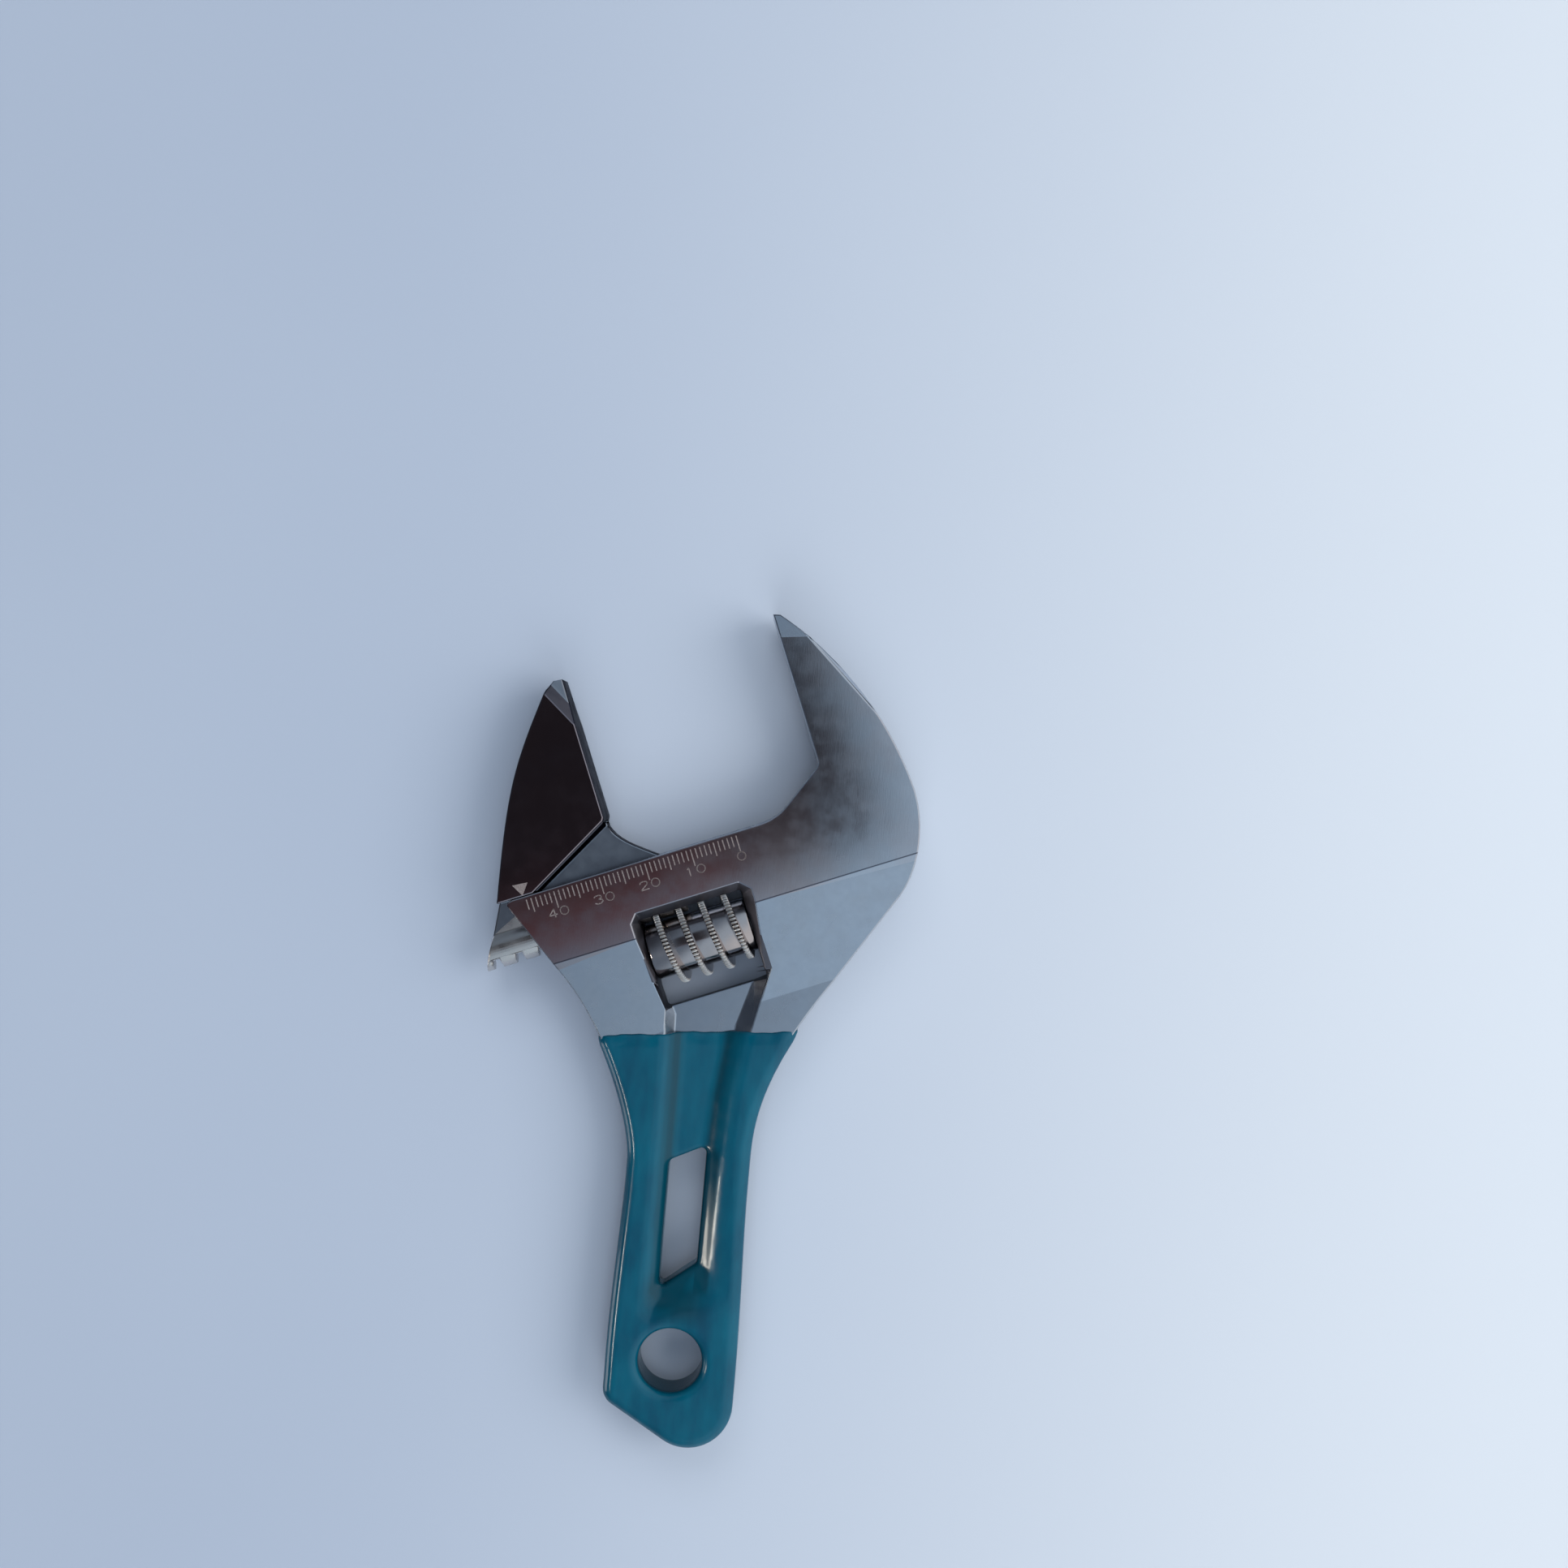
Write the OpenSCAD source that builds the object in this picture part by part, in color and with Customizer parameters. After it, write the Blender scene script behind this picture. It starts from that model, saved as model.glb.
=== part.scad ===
// Adjustable wrench with a forged body, a sliding jaw, a knurled worm and a dipped grip.
// Origin: centre of the hang hole, mid thickness. +Y runs along the handle to the head,
// +Z is the thickness. Every part is symmetric about the plane Z = 0 unless it is a thread.
// Head coordinates: s runs along the jaw travel, n points out between the jaws, and their
// zero is the corner where the fixed jaw face meets the scale edge.

/* [Head] */
// Angle of the jaw travel to the handle's cross direction
head_angle = 22; // [15:0.5:23]
// Thickness of the head
head_t = 13; // [12:0.5:14]
// Sideways place of the fixed jaw face at the scale edge
face_x = 23.6; // [22:0.1:25]
// Distance of the scale edge from the hang hole at the fixed jaw face
face_y = 120.7; // [118:0.1:124]
// Height of the jaws above the scale edge
jaw_h = 41.5; // [41:0.1:42]
// Gap between the jaws as modelled, in whole turns of the worm from fully open
opening = 46.6; // [1.6:5:46.6]
// Distance below the scale edge where the shoulders start to slope
crease_n = 15.4; // [14:0.1:16.5]

/* [Handle] */
// Thickness of the steel handle
handle_t = 8; // [7.5:0.1:8.5]
// Thickness of the thin web at the bottom of the channels
web_t = 3.2; // [2.8:0.1:4]
// Hang hole in the steel
hang_d = 15.2; // [14:0.1:16]

/* [Grip] */
// Wall of the dipped grip
dip_t = 0.9; // [0.6:0.05:1.2]
// Where the dip ends along the handle
dip_y = 69.6; // [64:0.1:72]
// Tilt of the dip line
dip_tilt = 6; // [0:0.5:8]

/* [Slide] */
// Diameter of the round rack bar
rack_d = 8; // [7.6:0.1:8.2]
// Depth of the rack axis below the scale edge
rack_n = 9.3; // [9.2:0.05:9.4]
// Thickness of the neck between jaw and rack
neck_t = 5.2; // [4.6:0.1:5.6]
// Clearance all round the rack and neck
slide_gap = 0.1; // [0.06:0.01:0.15]

/* [Worm] */
// Depth of the worm axis below the scale edge
worm_n = 19.7; // [19.65:0.05:19.8]
// Diameter over the thread
worm_d = 16.2; // [16:0.1:16.3]
// Diameter at the thread root
worm_root_d = 11.8; // [11.4:0.1:11.8]
// Length of the worm
worm_len = 22.1; // [21.5:0.1:22.2]
// Thread pitch, also the rack tooth pitch
pitch = 5; // [4.9:0.05:5.1]
// Turns of thread
thread_turns = 3.9; // [3:0.1:3.9]
// Width of the thread at its crest
crest_w = 1.1; // [0.9:0.1:1.3]

/* [Worm pin and spring] */
// Diameter of the pin that the worm turns on
pin_d = 4; // [3.6:0.1:4.4]
// Radial clearance of the worm on the pin
pin_gap = 0.06; // [0.03:0.01:0.1]
// Diameter of the screwed end of the pin
pin_thread_d = 5; // [4.8:0.1:5.2]
// Diameter of the pin head
pin_head_d = 6.4; // [6:0.1:6.8]
// Wire of the spring
wire_d = 0.6; // [0.5:0.05:0.7]

/* [Hidden] */
$fn = 96;
eps = 0.01;
steel = "#7f8b99";
dark_steel = "#3a3336";
bright_steel = "#b9b6b2";
teal = "#0f5f78";

rack_r = rack_d / 2;
worm_r = worm_d / 2;
root_r = worm_root_d / 2;
pin_r = pin_d / 2;

// Worm window, in head coordinates
win_s0 = -46;
win_s1 = win_s0 + worm_len + 0.3;
win_n0 = -31.6;
win_n1 = -12;
worm_s0 = win_s0 + 0.15;

// Thread crest on the rack side of the worm, measured along the travel
mesh_s = -42.8;
lead = atan(pitch / (2 * PI * (worm_r - 0.4)));
rack_root_n = -worm_n + worm_r + 0.4;

// Stretches of the rack and neck, measured from the movable jaw's face
rack_end = 11;
neck_end = 9.1;
back_foot = [-26.8, 0.1];
back_lean = 28;

// Pin and spring, along the travel
pin_tip_s = -17;
pin_thread_s = -54;
pin_head_s = -60.5;
pin_head_h = 2.3;
spring_seat = 5.2;
spring_r = 2.95;

function arc(c, r, a0, a1, k) =
    [for (i = [0:k]) let (a = a0 + (a1 - a0) * i / k) [c[0] + r * cos(a), c[1] + r * sin(a)]];
function bezier(a, b, c, d, k) =
    [for (i = [0:k]) let (t = i / k, u = 1 - t)
        u * u * u * a + 3 * u * u * t * b + 3 * u * t * t * c + t * t * t * d];
function turn(p, a) = [p[0] * cos(a) - p[1] * sin(a), p[0] * sin(a) + p[1] * cos(a)];
function from_head(pts) = [for (p = pts) [face_x, face_y] + turn(p, head_angle)];
function unit(v) = v / norm(v);
function left_of(v) = [-v[1], v[0]];

// Moves each corner of a counter-clockwise outline outwards by g
function outset(pts, g) =
    [for (i = [0:len(pts) - 1])
        let (a = pts[(i + len(pts) - 1) % len(pts)], b = pts[i], c = pts[(i + 1) % len(pts)],
             u = -left_of(unit(b - a)), v = -left_of(unit(c - b)))
        b + g * (u + v) / (1 + u * v)];

// Throat, fixed jaw face, tip, curved back and heel, in head coordinates
function fixed_jaw_side() = concat(
    bezier([-17, 0], [-13.5, 0], [-11.5, 0.3], [-8.5, 2.4], 8),
    [[-0.5, 8]],
    arc([-0.7, 8.9], 0.7, -50, 0, 3),
    [[0, jaw_h]],
    arc([-56.7, -5.4], 74.4, 38.6, 2, 26),
    bezier([17.6, -4], [17.4, -9.6], [14.4, -18.3], [8.4, -23], 12));

// Right neck, handle side, round end, slanted end and left side of the handle
function handle_side() = concat(
    bezier([28, 83.7], [12.4, 61.4], [12.4, 51], [12.4, 42], 16),
    bezier([12.4, 38], [12.3, 26], [13.4, 10], [13.2, -8.8], 10),
    arc([4.6, -8.8], 8.6, -6, -120, 14),
    arc([-9.8, -6.9], 3, -120, -180, 6),
    bezier([-12.8, -4], [-13.2, 10], [-12, 26], [-11.9, 38], 10),
    bezier([-11.9, 42], [-12.4, 52], [-21.2, 71.5], [-30.4, 80.6], 16));

// Whole forging outline, clockwise from the throat, then reversed
function forging_outline() =
    let (p = concat(from_head(fixed_jaw_side()), handle_side(),
                    from_head(arc([-70.4, -1], 1, 205, 90, 5))))
    [for (i = [len(p) - 1:-1:0]) p[i]];

function movable_jaw_side() = concat(
    [[0, 11], [0, jaw_h], [-1.9, jaw_h + 0.2], [-3.8, 40.2]],
    bezier([-4.6, 39.3], [-15.7, 25.9], [-18.2, 21.2], back_foot, 20),
    [[-18.9, 0.1], [-0.4, 10.3]]);

module head() {
    translate([face_x, face_y, 0]) rotate([0, 0, head_angle]) children();
}

// A round bar along the travel at depth n, from s0 to s1
module bar(n, r, s0, s1) {
    translate([s0, -n, 0]) rotate([0, 90, 0]) cylinder(r = r, h = s1 - s0);
}

// Side view of the thickness: flat head, sloping shoulders, thinner handle; grown by g
module thickness_profile(g) {
    slope_end = crease_n + 20.6;
    top = head_t / 2 + g;
    low = handle_t / 2 + g;
    translate([-120, 0, 0]) rotate([90, 0, 90]) linear_extrude(height = 240)
        polygon([[60, top], [-crease_n, top], [-slope_end, low], [-170, low],
                 [-170, -low], [-slope_end, -low], [-crease_n, -top], [60, -top]]);
}

// Removes a sloping nose from both faces of a jaw; line starts at p and the slope falls
// towards angle a, following the points [distance, drop]
module nose_cut(p, a, fall) {
    for (m = [0, 1]) mirror([0, 0, m])
        translate([p[0], p[1], head_t / 2]) rotate([90, 0, a]) translate([0, 0, -30])
            linear_extrude(height = 60)
                polygon(concat([for (q = fall) [q[0], -q[1]]], [[fall[len(fall) - 1][0], 9], [0, 9]]));
}

// One drafted recess on both faces: outline just above the face and outline at the floor.
// Both are clockwise: one near corner, the left side going up, then the right side coming down.
module recess(face_pts, floor_pts, face_z, floor_z) {
    k = len(face_pts);
    pts = concat([for (p = floor_pts) [p[0], p[1], floor_z]],
                 [for (p = face_pts) [p[0], p[1], face_z + 0.1]],
                 [for (p = face_pts) [p[0], p[1], face_z + 4]]);
    rungs = [for (i = [0:k / 2 - 2]) [1 + i, 2 + i, (k - 1 - i) % k, (k - i) % k]];
    faces = concat([for (r = rungs) [r[3], r[2], r[1], r[0]]],
                   [for (i = [0, 1]) for (j = [0:k - 1])
                       [i * k + j, i * k + (j + 1) % k, (i + 1) * k + (j + 1) % k]],
                   [for (i = [0, 1]) for (j = [0:k - 1])
                       [i * k + j, (i + 1) * k + (j + 1) % k, (i + 1) * k + j]],
                   [for (r = rungs) [for (j = r) 2 * k + j]]);
    for (m = [0, 1]) mirror([0, 0, m]) polyhedron(points = pts, faces = faces, convexity = 4);
}

// Channels on both faces of the handle, lined by g: a flare at the worm window, a long
// channel, and a slanted lower end
module channels(g) {
    recess([[7.2 - g, 13.6 + g], [-5.6 + g, 8.4 + g], [-6.9 + g, 9.4 + g], [-7 + g, 40], [-7 + g, 57],
            [-7.2 + g, 74], [-10.2 + g, 79.5], [14 - g, 84.5], [11.2 - g, 71.5], [9.3 - g, 57],
            [8.6 - g, 40], [8.4 - g, 15.5 + g]],
           [[4.2 - g, 18.7 + g], [-4.1 + g, 13.6 + g], [-4.9 + g, 14 + g], [-5 + g, 40], [-5 + g, 57],
            [-5.4 + g, 73], [-7.4 + g, 77], [11.2 - g, 83], [7.8 - g, 71.5], [6 - g, 57],
            [5.2 - g, 40], [5 - g, 19.6 + g]],
           handle_t / 2 + g, web_t / 2 + g);
}

// Slot through the web, with slanted ends, lined by g
module handle_slot(g) {
    half = 4.7 - g;
    translate([0, 0, -10]) linear_extrude(height = 20)
        polygon(concat(arc([-half + 1.4, 41.9 - g], 1.4, 180, 118, 4), arc([half - 1, 44.9 - g], 1, 118, 0, 6),
                       arc([half - 1.6, 20.6 + g], 1.6, 0, -64, 4), arc([-half + 0.8, 15.5 + g], 0.8, -64, -180, 5)));
}

// The forging before the head is machined, grown by g
module forging(g) {
    difference() {
        intersection() {
            linear_extrude(height = head_t + 2 * g, center = true)
                polygon(g == 0 ? forging_outline() : outset(forging_outline(), g));
            head() thickness_profile(g);
        }
        channels(g);
        handle_slot(g);
        translate([0, 0, -10]) cylinder(d = hang_d - 2 * g, h = 20);
    }
}

module worm_window() {
    translate([win_s0, win_n0, -10]) cube([win_s1 - win_s0, win_n1 - win_n0, 20]);
    // Broad chamfer round the top of the window
    recess([[-22.3, -30.5], [-46.9, -30], [-47.5, -20], [-47.6, -12.2], [-46, -10.3],
            [-23.4, -10.3], [-21.2, -12.4], [-21.4, -22]],
           [[-24, -30], [-45.4, -30], [-45.6, -20], [-45.7, -12.8], [-45.2, -12.4],
            [-24.6, -12.4], [-24, -13.1], [-24, -22]],
           head_t / 2, head_t / 2 - 2.5);
}

module body() {
    neck_slot = neck_t / 2 + slide_gap;
    color(steel) difference() {
        forging(0);
        head() {
            // Blind bore for the rack and slot for the neck
            bar(rack_n, rack_r + slide_gap, -80, rack_end + 1.2);
            translate([0, 0, -neck_slot]) linear_extrude(height = 2 * neck_slot)
                polygon([[-80, -rack_n], [neck_end + 0.4, -rack_n], [neck_end + 0.4, 0.4],
                         [0.3, 10.1], [-80, 10.1]]);
            worm_window();
            // Stepped hole for the worm pin
            bar(worm_n, pin_r, -50, pin_tip_s);
            bar(worm_n, pin_thread_d / 2, pin_head_s - 1, pin_thread_s);
            bar(worm_n, pin_r, pin_thread_s - 1, -40);
            bar(worm_n, pin_head_d / 2 + 0.1, -80, pin_head_s);
            nose_cut([0, 36.3], 74.5, [[0, 0], [9, 1.9]]);
            back_facet();
        }
    }
}

// Slim facet along the middle of the fixed jaw's curved back, on both faces
module back_facet() {
    at = [-56.7, -5.4] + 74.4 * [cos(24.6), sin(24.6)];
    for (m = [0, 1]) mirror([0, 0, m])
        translate([at[0], at[1], head_t / 2]) rotate([0, 0, 24.6]) translate([-0.9, 0, 0])
            rotate([0, 50, 0]) translate([0, -20, 0]) cube([20, 40, 5]);
}

// A tooth gap of the rack, slanted like the thread that runs in it
module tooth_gap(j) {
    root_w = crest_w + 0.26;
    mouth_w = root_w + 0.6;
    translate([j, 0, 0]) rotate([0, lead, 0]) linear_extrude(height = 14, center = true)
        polygon([[-root_w / 2, rack_root_n], [root_w / 2, rack_root_n],
                 [mouth_w / 2, -rack_n - rack_r - 0.1], [mouth_w / 2, -rack_n - rack_r - 1],
                 [-mouth_w / 2, -rack_n - rack_r - 1], [-mouth_w / 2, -rack_n - rack_r - 0.1]]);
}

// Drafted wall between the thick jaw and its thin neck, on both faces
module neck_draft() {
    foot = [-18.9, 0.1];
    top = [-0.4, 10.3];
    for (m = [0, 1]) mirror([0, 0, m]) hull() {
        translate([0, 0, neck_t / 2 - 0.2]) linear_extrude(height = 0.2)
            polygon([foot, foot + [1.5, 0], top + [0, -1.1], top]);
        translate([0, 0, head_t / 2 - 0.6]) linear_extrude(height = 0.2)
            polygon([foot, foot + [0.1, 0], top + [0, -0.05], top]);
    }
}

module movable_jaw() {
    first_gap = (mesh_s + opening + 9 * pitch) % pitch - 7 * pitch;
    color(dark_steel) head() translate([-opening, 0, 0]) difference() {
        union() {
            linear_extrude(height = head_t, center = true) polygon(movable_jaw_side());
            linear_extrude(height = neck_t, center = true)
                polygon(concat([[-45, -rack_n], [neck_end, -rack_n], [neck_end, -0.6]],
                               bezier([8.8, -0.3], [3.8, 3.6], [0.6, 5.6], [-0.3, 9.8], 8),
                               [[-10, 12], [-22, 8], back_foot, [-45, 0.1]]));
            bar(rack_n, rack_r, -45, rack_end);
            neck_draft();
        }
        for (i = [0:9]) tooth_gap(first_gap + i * pitch);
        // The back of the jaw runs on straight down to the rack
        translate([back_foot[0], back_foot[1], -10]) rotate([0, 0, 90 - back_lean])
            translate([-40, 0, 0]) cube([40, 30, 20]);
        nose_cut([0, 31.4], 27, [[0, 0], [2, 1.7], [9, 3.2]]);
    }
}

// One coil-shaped solid: a profile of [radius, offset] swept round the travel axis
module helix(profile, turns, rise, steps) {
    k = len(profile);
    rings = ceil(turns * steps);
    pts = [for (i = [0:rings]) let (t = turns * i / rings, a = 360 * t)
               for (q = profile) [q[1] + rise * t, q[0] * cos(a), q[0] * sin(a)]];
    faces = concat([[for (j = [k - 1:-1:0]) j]],
                   [for (i = [0:rings - 1]) for (j = [0:k - 1])
                       [i * k + j, i * k + (j + 1) % k, (i + 1) * k + (j + 1) % k, (i + 1) * k + j]],
                   [[for (j = [0:k - 1]) rings * k + j]]);
    polyhedron(points = pts, faces = faces, convexity = 6);
}

module worm() {
    base_w = crest_w + 0.68;
    start_s = mesh_s - 2;
    color(bright_steel) head() difference() {
        union() {
            bar(worm_n, root_r, worm_s0, worm_s0 + worm_len);
            translate([start_s, -worm_n, 0]) rotate([-144, 0, 0])
                helix([[root_r - 0.3, -base_w / 2], [worm_r, -crest_w / 2], [worm_r, crest_w / 2],
                       [root_r - 0.3, base_w / 2]], thread_turns, pitch, 24);
        }
        bar(worm_n, pin_r + pin_gap, -60, -10);
        bar(worm_n, 3.7, worm_s0 - 1, worm_s0 + spring_seat);
    }
}

module worm_pin() {
    color(steel) head() difference() {
        union() {
            bar(worm_n, pin_r, pin_thread_s - 1, pin_tip_s - 0.2);
            bar(worm_n, pin_thread_d / 2, pin_head_s - 1, pin_thread_s - 0.1);
            bar(worm_n, pin_head_d / 2, pin_head_s - pin_head_h, pin_head_s);
        }
        translate([pin_head_s - pin_head_h - 1, -worm_n - 5, -0.5]) cube([2.1, 10, 1]);
    }
}

module worm_spring() {
    coils = 4;
    rise = (spring_seat - 0.3 - wire_d) / coils;
    wire = [for (i = [0:7]) [spring_r + wire_d / 2 * cos(45 * i), wire_d / 2 * sin(45 * i)]];
    color(bright_steel) head() translate([win_s0 + wire_d / 2, -worm_n, 0]) helix(wire, coils, rise, 16);
}

module grip() {
    color(teal) difference() {
        forging(dip_t);
        forging(0);
        translate([0, dip_y, -20]) rotate([0, 0, dip_tilt]) translate([-80, 0, 0]) cube([200, 120, 40]);
    }
}

body();
movable_jaw();
worm();
worm_pin();
worm_spring();
grip();
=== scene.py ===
# The looks of an adjustable wrench. Four of its CAD nodes get finer pieces: body, jaw, worm and grip. The pin
# and the spring keep their CAD shape, and the scale and the pointer are thin pieces of their own.
import math

import bpy
import bmesh
import numpy as np
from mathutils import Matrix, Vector


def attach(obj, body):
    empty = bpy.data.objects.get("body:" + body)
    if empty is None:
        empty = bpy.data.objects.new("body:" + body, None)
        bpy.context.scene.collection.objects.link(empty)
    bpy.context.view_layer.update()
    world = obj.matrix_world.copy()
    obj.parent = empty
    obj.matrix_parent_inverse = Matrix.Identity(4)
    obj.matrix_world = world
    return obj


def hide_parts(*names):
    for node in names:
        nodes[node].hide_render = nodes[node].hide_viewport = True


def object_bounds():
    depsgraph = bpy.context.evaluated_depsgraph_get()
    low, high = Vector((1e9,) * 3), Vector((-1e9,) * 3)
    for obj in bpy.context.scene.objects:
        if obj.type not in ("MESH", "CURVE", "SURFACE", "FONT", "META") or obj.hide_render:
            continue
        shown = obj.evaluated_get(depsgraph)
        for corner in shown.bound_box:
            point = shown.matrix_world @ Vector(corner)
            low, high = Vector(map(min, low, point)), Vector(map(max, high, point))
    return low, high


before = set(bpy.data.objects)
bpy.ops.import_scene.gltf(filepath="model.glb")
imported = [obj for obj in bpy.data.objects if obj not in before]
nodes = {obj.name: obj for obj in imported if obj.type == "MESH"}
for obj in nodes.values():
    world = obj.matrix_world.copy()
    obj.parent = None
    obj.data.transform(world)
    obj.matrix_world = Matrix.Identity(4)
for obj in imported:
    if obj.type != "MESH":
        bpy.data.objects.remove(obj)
cad_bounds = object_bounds()
MM = 0.001


# ---------------------------------------------------------------- places, in millimetres
# Head coordinates: s along the jaw's travel, n out of the scale edge towards the jaws' tips, both zero where
# the fixed jaw's face meets the scale edge.
FACE = np.array([23.6, 120.7])
HEAD = math.radians(22)
COS, SIN = math.cos(HEAD), math.sin(HEAD)
TOP = 6.5  # the head's flat face
CREASE_N = -15.4  # where the shoulders start to slope
WORM_N = 19.7  # the worm's axis below the scale edge
WINDOW_S, WINDOW_N = (-48.2, -20.9), (-32, -10)  # the worm's window


def to_head(x, y):
    dx, dy = x - FACE[0], y - FACE[1]
    return dx * COS + dy * SIN, -dx * SIN + dy * COS


def from_head(pts):
    pts = np.asarray(pts, float)
    out = pts.copy()
    out[:, 0] = FACE[0] + COS * pts[:, 0] - SIN * pts[:, 1]
    out[:, 1] = FACE[1] + SIN * pts[:, 0] + COS * pts[:, 1]
    return out


def bezier(a, b, c, d, k):
    t = np.linspace(0, 1, k + 1)[:, None]
    u = 1 - t
    a, b, c, d = map(np.array, (a, b, c, d))
    return u**3 * a + 3 * u * u * t * b + 3 * u * t * t * c + t**3 * d


def arc(c, r, a0, a1, k):
    a = np.radians(np.linspace(a0, a1, k + 1))
    return np.stack([c[0] + r * np.cos(a), c[1] + r * np.sin(a)], 1)


# ---------------------------------------------------------------- mesh helpers
def new_object(name, verts_mm, faces, smooth=True):
    mesh = bpy.data.meshes.new(name)
    verts = (np.asarray(verts_mm, float) * MM).tolist()
    mesh.from_pydata(verts, [], [list(map(int, f)) for f in faces])
    mesh.update()
    obj = bpy.data.objects.new(name, mesh)
    bpy.context.scene.collection.objects.link(obj)
    for p in mesh.polygons:
        p.use_smooth = smooth
    return obj


WELD = 2e-6  # metres: vertices closer than this are one
BEVEL_TURN = 24  # degrees: an edge that turns more gets a bevel
CRISP_TURN = 3  # degrees: a lesser edge of a level face stays crisp from here
LEVEL = 0.9  # normal's z of a level face
FLAT = 0.97  # normal's z of a face that is shaded flat


def bevelled_copy(node, name, width):
    """The CAD shape with every real edge broken by a small bevel, flat faces kept flat."""
    mesh = nodes[node].data.copy()
    mesh.materials.clear()
    bm = bmesh.new()
    bm.from_mesh(mesh)
    bmesh.ops.remove_doubles(bm, verts=bm.verts, dist=WELD)
    bmesh.ops.dissolve_degenerate(bm, edges=bm.edges, dist=WELD)
    bm.normal_update()
    weight = bm.edges.layers.float.new("bevel_weight_edge")
    for e in bm.edges:
        e.smooth = True
        if len(e.link_faces) != 2:
            continue
        turn = math.degrees(e.calc_face_angle(0))
        if turn > BEVEL_TURN:
            e[weight] = 1.0
        elif turn > CRISP_TURN and any(abs(f.normal.z) > LEVEL for f in e.link_faces):
            e.smooth = False
    for f in bm.faces:
        f.smooth = abs(f.normal.z) < FLAT
    bm.to_mesh(mesh)
    bm.free()
    if "custom_normal" in mesh.attributes:
        mesh.attributes.remove(mesh.attributes["custom_normal"])
    obj = bpy.data.objects.new(name, mesh)
    bpy.context.scene.collection.objects.link(obj)
    bev = obj.modifiers.new("edges", "BEVEL")
    bev.width = width * MM
    bev.segments = 2
    bev.limit_method = "WEIGHT"
    bev.use_clamp_overlap = False
    bev.miter_outer = "MITER_SHARP"
    bev.harden_normals = False
    normals = obj.modifiers.new("normals", "WEIGHTED_NORMAL")
    normals.weight = 90
    normals.keep_sharp = True
    return obj


def surface_nets(field, origin, step):
    """Quads around the zero level of a sampled field, negative inside."""
    inside = field < 0
    corners = [(i, j, k) for i in (0, 1) for j in (0, 1) for k in (0, 1)]
    shape = [n - 1 for n in field.shape]

    def cut(a, off):
        return a[tuple(slice(o, o + n) for o, n in zip(off, shape))]

    count = sum(cut(inside, c).astype(np.int8) for c in corners)
    cells = np.argwhere((count > 0) & (count < 8))
    ids = np.full(shape, -1, np.int64)
    ids[tuple(cells.T)] = np.arange(len(cells))
    # one vertex to a cell, at the mean of the places where the level crosses its edges
    total, number = np.zeros((len(cells), 3)), np.zeros(len(cells))
    for a in corners:
        for axis in range(3):
            if a[axis]:
                continue
            b = list(a)
            b[axis] = 1
            fa, fb = cut(field, a)[tuple(cells.T)], cut(field, b)[tuple(cells.T)]
            cross = (fa < 0) != (fb < 0)
            t = np.where(cross, fa / np.where(cross, fa - fb, 1), 0)
            p = np.tile(np.array(a, float), (len(cells), 1))
            p[:, axis] += t
            total += np.where(cross[:, None], p, 0)
            number += cross
    verts = origin + (cells + total / number[:, None]) * step
    # one quad to a grid edge that the level crosses
    faces = []
    for axis in range(3):
        u, v = (axis + 1) % 3, (axis + 2) % 3
        lo = [slice(None)] * 3
        lo[axis] = slice(0, -1)
        hi = [slice(None)] * 3
        hi[axis] = slice(1, None)
        e = np.argwhere(inside[tuple(lo)] != inside[tuple(hi)])
        e = e[(e[:, u] > 0) & (e[:, v] > 0) & (e[:, u] < shape[u]) & (e[:, v] < shape[v])]
        quad = []
        for du, dv in ((0, 0), (-1, 0), (-1, -1), (0, -1)):
            c = e.copy()
            c[:, u] += du
            c[:, v] += dv
            quad.append(ids[tuple(c.T)])
        quad = np.stack(quad, 1)
        out = inside[tuple(e.T)]
        quad[~out] = quad[~out][:, ::-1]
        faces.append(quad)
    return verts, np.vstack(faces)


def polygon_distance(x, y, poly):
    """Signed distance to a closed outline, negative inside."""
    best = np.full(x.shape, 1e9)
    inside = np.zeros(x.shape, bool)
    for (ax, ay), (bx, by) in zip(poly, np.roll(poly, -1, axis=0)):
        dx, dy = bx - ax, by - ay
        t = np.clip(((x - ax) * dx + (y - ay) * dy) / (dx * dx + dy * dy + 1e-12), 0, 1)
        best = np.minimum(best, (x - ax - t * dx) ** 2 + (y - ay - t * dy) ** 2)
        if dy:
            inside ^= ((ay > y) != (by > y)) & (x < dx * (y - ay) / dy + ax)
    return np.where(inside, -1, 1) * np.sqrt(best)


def smooth_max(a, b, k):
    """The greater of two fields, rounded over a width of about k where they meet."""
    h = np.maximum(k - np.abs(a - b), 0) / k
    return np.maximum(a, b) + h * h * k * 0.25


def fade(value, full, none):
    """One at full and beyond, zero at none and beyond, straight between."""
    return np.clip((value - none) / (full - none), 0, 1)


# ---------------------------------------------------------------- node helpers
def material(name):
    mat = bpy.data.materials.new(name)
    mat.use_nodes = True
    nt = mat.node_tree
    nt.nodes.clear()
    out = nt.nodes.new("ShaderNodeOutputMaterial")
    bsdf = nt.nodes.new("ShaderNodeBsdfPrincipled")
    nt.links.new(bsdf.outputs[0], out.inputs[0])
    return mat, nt, bsdf


def put(nt, kind, inputs=None, **props):
    n = nt.nodes.new(kind)
    for k, v in props.items():
        setattr(n, k, v)
    for k, v in (inputs or {}).items():
        if isinstance(v, bpy.types.NodeSocket):
            nt.links.new(v, n.inputs[k])
        else:
            n.inputs[k].default_value = v
    return n


def math_node(nt, op, a, b=None, clamp=False):
    inputs = {0: a} if b is None else {0: a, 1: b}
    return put(nt, "ShaderNodeMath", inputs, operation=op, use_clamp=clamp).outputs[0]


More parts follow.
